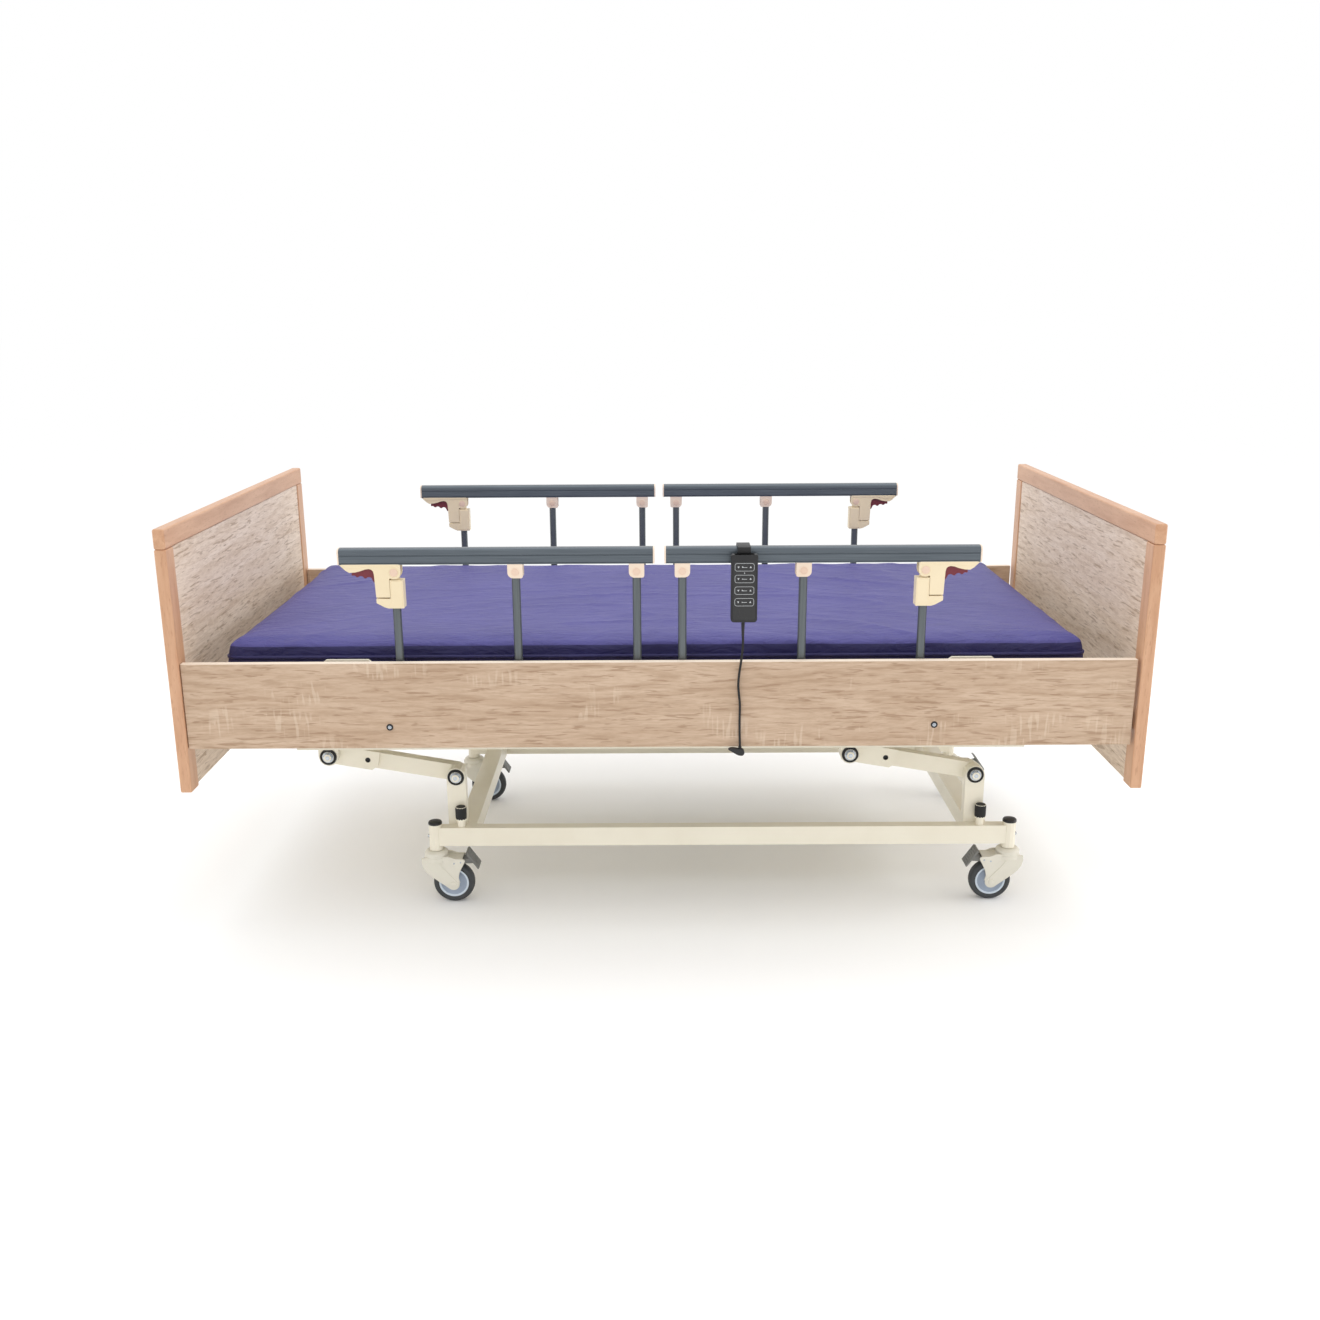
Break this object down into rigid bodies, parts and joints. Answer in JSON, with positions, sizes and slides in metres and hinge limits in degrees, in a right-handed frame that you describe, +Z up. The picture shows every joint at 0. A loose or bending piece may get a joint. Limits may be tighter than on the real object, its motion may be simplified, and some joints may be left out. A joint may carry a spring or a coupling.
{
  "type": "adjustable hospital bed",
  "caption": "Wheeled hospital bed: parallel-arm lift, folding four-part deck and mattress, wooden boards and side panels, folding side rails, hand control.",
  "frame": {"origin": "on the floor, under the middle of the bed", "axes": "+X along the bed towards the foot end, +Y towards the far side (the hand control hangs on the -Y side), +Z up"},
  "size_m": [2.132, 1.119, 0.949],
  "materials": {
    "cream_paint": "satin cream paint",
    "oak": "pale oak laminate, matt",
    "beech": "beech, satin",
    "rail_metal": "slate metallic paint, satin",
    "maroon_plastic": "moulded maroon",
    "violet_cloth": "coated violet cover, semi-matt",
    "grey_rubber": "dark grey tyre and hub",
    "grey_plastic": "moulded grey",
    "black_plastic": "moulded black",
    "dark_metal": "bright steel"
  },
  "bodies": {
    "base": {"base_frame": "cream_paint"},
    "castor_head_near": {"castor_fork_head_near": "cream_paint"},
    "wheel_head_near": {"castor_wheel_head_near": "grey_rubber"},
    "pedal_head_near": {"castor_pedal_head_near": "grey_plastic"},
    "castor_head_far": {"castor_fork_head_far": "cream_paint"},
    "wheel_head_far": {"castor_wheel_head_far": "grey_rubber"},
    "pedal_head_far": {"castor_pedal_head_far": "grey_plastic"},
    "castor_foot_near": {"castor_fork_foot_near": "cream_paint"},
    "wheel_foot_near": {"castor_wheel_foot_near": "grey_rubber"},
    "pedal_foot_near": {"castor_pedal_foot_near": "grey_plastic"},
    "castor_foot_far": {"castor_fork_foot_far": "cream_paint"},
    "wheel_foot_far": {"castor_wheel_foot_far": "grey_rubber"},
    "pedal_foot_far": {"castor_pedal_foot_far": "grey_plastic"},
    "head_arms": {"lift_arms_head": "cream_paint"},
    "foot_arms": {"lift_arms_foot": "cream_paint"},
    "bed": {"bed_frame": "cream_paint", "head_board_frame": "beech", "head_board_panel": "oak", "foot_board_frame": "beech", "foot_board_panel": "oak", "side_panel_near": "oak", "side_panel_far": "oak", "deck_seat": "cream_paint", "mattress_seat": "violet_cloth", "control_box": "grey_plastic", "back_actuator": "grey_plastic", "leg_actuator": "grey_plastic", "lift_actuator": "grey_plastic"},
    "back_section": {"deck_back": "cream_paint", "mattress_back": "violet_cloth"},
    "thigh_section": {"deck_thigh": "cream_paint", "mattress_thigh": "violet_cloth"},
    "calf_section": {"deck_calf": "cream_paint", "mattress_calf": "violet_cloth"},
    "back_rod": {"back_actuator_rod": "dark_metal"},
    "leg_rod": {"leg_actuator_rod": "dark_metal"},
    "lift_rod": {"lift_actuator_rod": "dark_metal"},
    "inner_post_head_near": {"rail_inner_post_head_near": "rail_metal"},
    "mid_post_head_near": {"rail_mid_post_head_near": "rail_metal"},
    "latch_post_head_near": {"rail_latch_post_head_near": "rail_metal"},
    "rail_head_near": {"side_rail_head_near": "rail_metal"},
    "trigger_head_near": {"latch_trigger_head_near": "maroon_plastic"},
    "inner_post_head_far": {"rail_inner_post_head_far": "rail_metal"},
    "mid_post_head_far": {"rail_mid_post_head_far": "rail_metal"},
    "latch_post_head_far": {"rail_latch_post_head_far": "rail_metal"},
    "rail_head_far": {"side_rail_head_far": "rail_metal"},
    "trigger_head_far": {"latch_trigger_head_far": "maroon_plastic"},
    "inner_post_foot_near": {"rail_inner_post_foot_near": "rail_metal"},
    "mid_post_foot_near": {"rail_mid_post_foot_near": "rail_metal"},
    "latch_post_foot_near": {"rail_latch_post_foot_near": "rail_metal"},
    "rail_foot_near": {"side_rail_foot_near": "rail_metal", "handset": "black_plastic", "handset_cord": "black_plastic", "cord_plug": "black_plastic"},
    "trigger_foot_near": {"latch_trigger_foot_near": "maroon_plastic"},
    "inner_post_foot_far": {"rail_inner_post_foot_far": "rail_metal"},
    "mid_post_foot_far": {"rail_mid_post_foot_far": "rail_metal"},
    "latch_post_foot_far": {"rail_latch_post_foot_far": "rail_metal"},
    "rail_foot_far": {"side_rail_foot_far": "rail_metal"},
    "trigger_foot_far": {"latch_trigger_foot_far": "maroon_plastic"}
  },
  "joints": [
    {"name": "castor_swivel_head_near", "type": "hinge", "parent": "base", "child": "castor_head_near", "pos_m": [-0.543, -0.341, 0.134], "axis": [0, 0, 1], "continuous": true},
    {"name": "wheel_spin_head_near", "type": "hinge", "parent": "castor_head_near", "child": "wheel_head_near", "pos_m": [-0.503, -0.341, 0.05], "axis": [0, 1, 0], "continuous": true},
    {"name": "brake_pedal_head_near", "type": "hinge", "parent": "castor_head_near", "child": "pedal_head_near", "pos_m": [-0.48, -0.341, 0.1065], "axis": [0, 1, 0], "range_deg": [0, 12]},
    {"name": "castor_swivel_head_far", "type": "hinge", "parent": "base", "child": "castor_head_far", "pos_m": [-0.543, 0.341, 0.134], "axis": [0, 0, 1], "continuous": true},
    {"name": "wheel_spin_head_far", "type": "hinge", "parent": "castor_head_far", "child": "wheel_head_far", "pos_m": [-0.503, 0.341, 0.05], "axis": [0, 1, 0], "continuous": true},
    {"name": "brake_pedal_head_far", "type": "hinge", "parent": "castor_head_far", "child": "pedal_head_far", "pos_m": [-0.48, 0.341, 0.1065], "axis": [0, 1, 0], "range_deg": [0, 12]},
    {"name": "castor_swivel_foot_near", "type": "hinge", "parent": "base", "child": "castor_foot_near", "pos_m": [0.8386, -0.341, 0.134], "axis": [0, 0, 1], "continuous": true},
    {"name": "wheel_spin_foot_near", "type": "hinge", "parent": "castor_foot_near", "child": "wheel_foot_near", "pos_m": [0.7986, -0.341, 0.05], "axis": [0, 1, 0], "continuous": true},
    {"name": "brake_pedal_foot_near", "type": "hinge", "parent": "castor_foot_near", "child": "pedal_foot_near", "pos_m": [0.7756, -0.341, 0.1065], "axis": [0, -1, 0], "range_deg": [0, 12]},
    {"name": "castor_swivel_foot_far", "type": "hinge", "parent": "base", "child": "castor_foot_far", "pos_m": [0.8386, 0.341, 0.134], "axis": [0, 0, 1], "continuous": true},
    {"name": "wheel_spin_foot_far", "type": "hinge", "parent": "castor_foot_far", "child": "wheel_foot_far", "pos_m": [0.8786, 0.341, 0.05], "axis": [0, 1, 0], "continuous": true},
    {"name": "brake_pedal_foot_far", "type": "hinge", "parent": "castor_foot_far", "child": "pedal_foot_far", "pos_m": [0.9016, 0.341, 0.1065], "axis": [0, 1, 0], "range_deg": [0, 12]},
    {"name": "lift_head_arms", "type": "hinge", "parent": "base", "child": "head_arms", "pos_m": [-0.4902, 0, 0.312], "axis": [0, 1, 0], "range_deg": [-28, 55]},
    {"name": "lift_height", "type": "hinge", "parent": "head_arms", "child": "bed", "pos_m": [-0.7915, 0, 0.365], "axis": [0, -1, 0], "range_deg": [-28, 55]},
    {"name": "lift_foot_arms", "type": "hinge", "parent": "base", "child": "foot_arms", "pos_m": [0.7532, 0, 0.312], "axis": [0, 1, 0], "range_deg": [-28, 55]},
    {"name": "back_tilt", "type": "hinge", "parent": "bed", "child": "back_section", "pos_m": [-0.24, 0, 0.5715], "axis": [0, 1, 0], "range_deg": [0, 70]},
    {"name": "thigh_tilt", "type": "hinge", "parent": "bed", "child": "thigh_section", "pos_m": [-0.02, 0, 0.5715], "axis": [0, -1, 0], "range_deg": [0, 35]},
    {"name": "knee_fold", "type": "hinge", "parent": "thigh_section", "child": "calf_section", "pos_m": [0.33, 0, 0.5318], "axis": [0, 1, 0], "range_deg": [0, 53.9]},
    {"name": "back_rod_slide", "type": "slide", "parent": "bed", "child": "back_rod", "axis": [-1, 0, 0], "range_m": [0, 0.1492]},
    {"name": "leg_rod_slide", "type": "slide", "parent": "bed", "child": "leg_rod", "axis": [1, 0, 0], "range_m": [0, 0.0782]},
    {"name": "lift_rod_slide", "type": "slide", "parent": "bed", "child": "lift_rod", "axis": [1, 0, 0], "range_m": [-0.0402, 0.079]},
    {"name": "inner_post_head_near", "type": "hinge", "parent": "bed", "child": "inner_post_head_near", "pos_m": [-0.049, -0.512, 0.568], "axis": [0, -1, 0], "range_deg": [0, 82]},
    {"name": "mid_post_head_near", "type": "hinge", "parent": "bed", "child": "mid_post_head_near", "pos_m": [-0.3085, -0.512, 0.568], "axis": [0, -1, 0], "range_deg": [0, 82]},
    {"name": "latch_post_head_near", "type": "hinge", "parent": "bed", "child": "latch_post_head_near", "pos_m": [-0.568, -0.512, 0.568], "axis": [0, -1, 0], "range_deg": [0, 82]},
    {"name": "rail_level_head_near", "type": "hinge", "parent": "latch_post_head_near", "child": "rail_head_near", "pos_m": [-0.568, -0.512, 0.849], "axis": [0, -1, 0], "range_deg": [-82, 0]},
    {"name": "trigger_head_near", "type": "hinge", "parent": "rail_head_near", "child": "trigger_head_near", "pos_m": [-0.616, -0.512, 0.853], "axis": [0, 1, 0], "range_deg": [0, 6], "stiffness_Nm_per_rad": 2, "springref_deg": -2.86},
    {"name": "inner_post_head_far", "type": "hinge", "parent": "bed", "child": "inner_post_head_far", "pos_m": [-0.049, 0.512, 0.568], "axis": [0, -1, 0], "range_deg": [0, 82]},
    {"name": "mid_post_head_far", "type": "hinge", "parent": "bed", "child": "mid_post_head_far", "pos_m": [-0.3085, 0.512, 0.568], "axis": [0, -1, 0], "range_deg": [0, 82]},
    {"name": "latch_post_head_far", "type": "hinge", "parent": "bed", "child": "latch_post_head_far", "pos_m": [-0.568, 0.512, 0.568], "axis": [0, -1, 0], "range_deg": [0, 82]},
    {"name": "rail_level_head_far", "type": "hinge", "parent": "latch_post_head_far", "child": "rail_head_far", "pos_m": [-0.568, 0.512, 0.849], "axis": [0, -1, 0], "range_deg": [-82, 0]},
    {"name": "trigger_head_far", "type": "hinge", "parent": "rail_head_far", "child": "trigger_head_far", "pos_m": [-0.616, 0.512, 0.853], "axis": [0, 1, 0], "range_deg": [0, 6], "stiffness_Nm_per_rad": 2, "springref_deg": -2.86},
    {"name": "inner_post_foot_near", "type": "hinge", "parent": "bed", "child": "inner_post_foot_near", "pos_m": [0.049, -0.512, 0.568], "axis": [0, 1, 0], "range_deg": [0, 82]},
    {"name": "mid_post_foot_near", "type": "hinge", "parent": "bed", "child": "mid_post_foot_near", "pos_m": [0.3085, -0.512, 0.568], "axis": [0, 1, 0], "range_deg": [0, 82]},
    {"name": "latch_post_foot_near", "type": "hinge", "parent": "bed", "child": "latch_post_foot_near", "pos_m": [0.568, -0.512, 0.568], "axis": [0, 1, 0], "range_deg": [0, 82]},
    {"name": "rail_level_foot_near", "type": "hinge", "parent": "latch_post_foot_near", "child": "rail_foot_near", "pos_m": [0.568, -0.512, 0.849], "axis": [0, 1, 0], "range_deg": [-82, 0]},
    {"name": "trigger_foot_near", "type": "hinge", "parent": "rail_foot_near", "child": "trigger_foot_near", "pos_m": [0.616, -0.512, 0.853], "axis": [0, -1, 0], "range_deg": [0, 6], "stiffness_Nm_per_rad": 2, "springref_deg": -2.86},
    {"name": "inner_post_foot_far", "type": "hinge", "parent": "bed", "child": "inner_post_foot_far", "pos_m": [0.049, 0.512, 0.568], "axis": [0, 1, 0], "range_deg": [0, 82]},
    {"name": "mid_post_foot_far", "type": "hinge", "parent": "bed", "child": "mid_post_foot_far", "pos_m": [0.3085, 0.512, 0.568], "axis": [0, 1, 0], "range_deg": [0, 82]},
    {"name": "latch_post_foot_far", "type": "hinge", "parent": "bed", "child": "latch_post_foot_far", "pos_m": [0.568, 0.512, 0.568], "axis": [0, 1, 0], "range_deg": [0, 82]},
    {"name": "rail_level_foot_far", "type": "hinge", "parent": "latch_post_foot_far", "child": "rail_foot_far", "pos_m": [0.568, 0.512, 0.849], "axis": [0, 1, 0], "range_deg": [-82, 0]},
    {"name": "trigger_foot_far", "type": "hinge", "parent": "rail_foot_far", "child": "trigger_foot_far", "pos_m": [0.616, 0.512, 0.853], "axis": [0, -1, 0], "range_deg": [0, 6], "stiffness_Nm_per_rad": 2, "springref_deg": -2.86}
  ],
  "couplings": [
    {"joint": "lift_head_arms", "follows": "lift_height", "ratio": 1},
    {"joint": "lift_foot_arms", "follows": "lift_height", "ratio": 1},
    {"joint": "knee_fold", "follows": "thigh_tilt", "ratio": 1.54},
    {"joint": "back_rod_slide", "follows": "back_tilt", "m_per_rad": 0.12212},
    {"joint": "leg_rod_slide", "follows": "thigh_tilt", "m_per_rad": 0.128},
    {"joint": "lift_rod_slide", "follows": "lift_height", "m_per_rad": 0.0822},
    {"joint": "inner_post_head_near", "follows": "latch_post_head_near", "ratio": 1},
    {"joint": "mid_post_head_near", "follows": "latch_post_head_near", "ratio": 1},
    {"joint": "rail_level_head_near", "follows": "latch_post_head_near", "ratio": -1},
    {"joint": "inner_post_head_far", "follows": "latch_post_head_far", "ratio": 1},
    {"joint": "mid_post_head_far", "follows": "latch_post_head_far", "ratio": 1},
    {"joint": "rail_level_head_far", "follows": "latch_post_head_far", "ratio": -1},
    {"joint": "inner_post_foot_near", "follows": "latch_post_foot_near", "ratio": 1},
    {"joint": "mid_post_foot_near", "follows": "latch_post_foot_near", "ratio": 1},
    {"joint": "rail_level_foot_near", "follows": "latch_post_foot_near", "ratio": -1},
    {"joint": "inner_post_foot_far", "follows": "latch_post_foot_far", "ratio": 1},
    {"joint": "mid_post_foot_far", "follows": "latch_post_foot_far", "ratio": 1},
    {"joint": "rail_level_foot_far", "follows": "latch_post_foot_far", "ratio": -1}
  ]
}
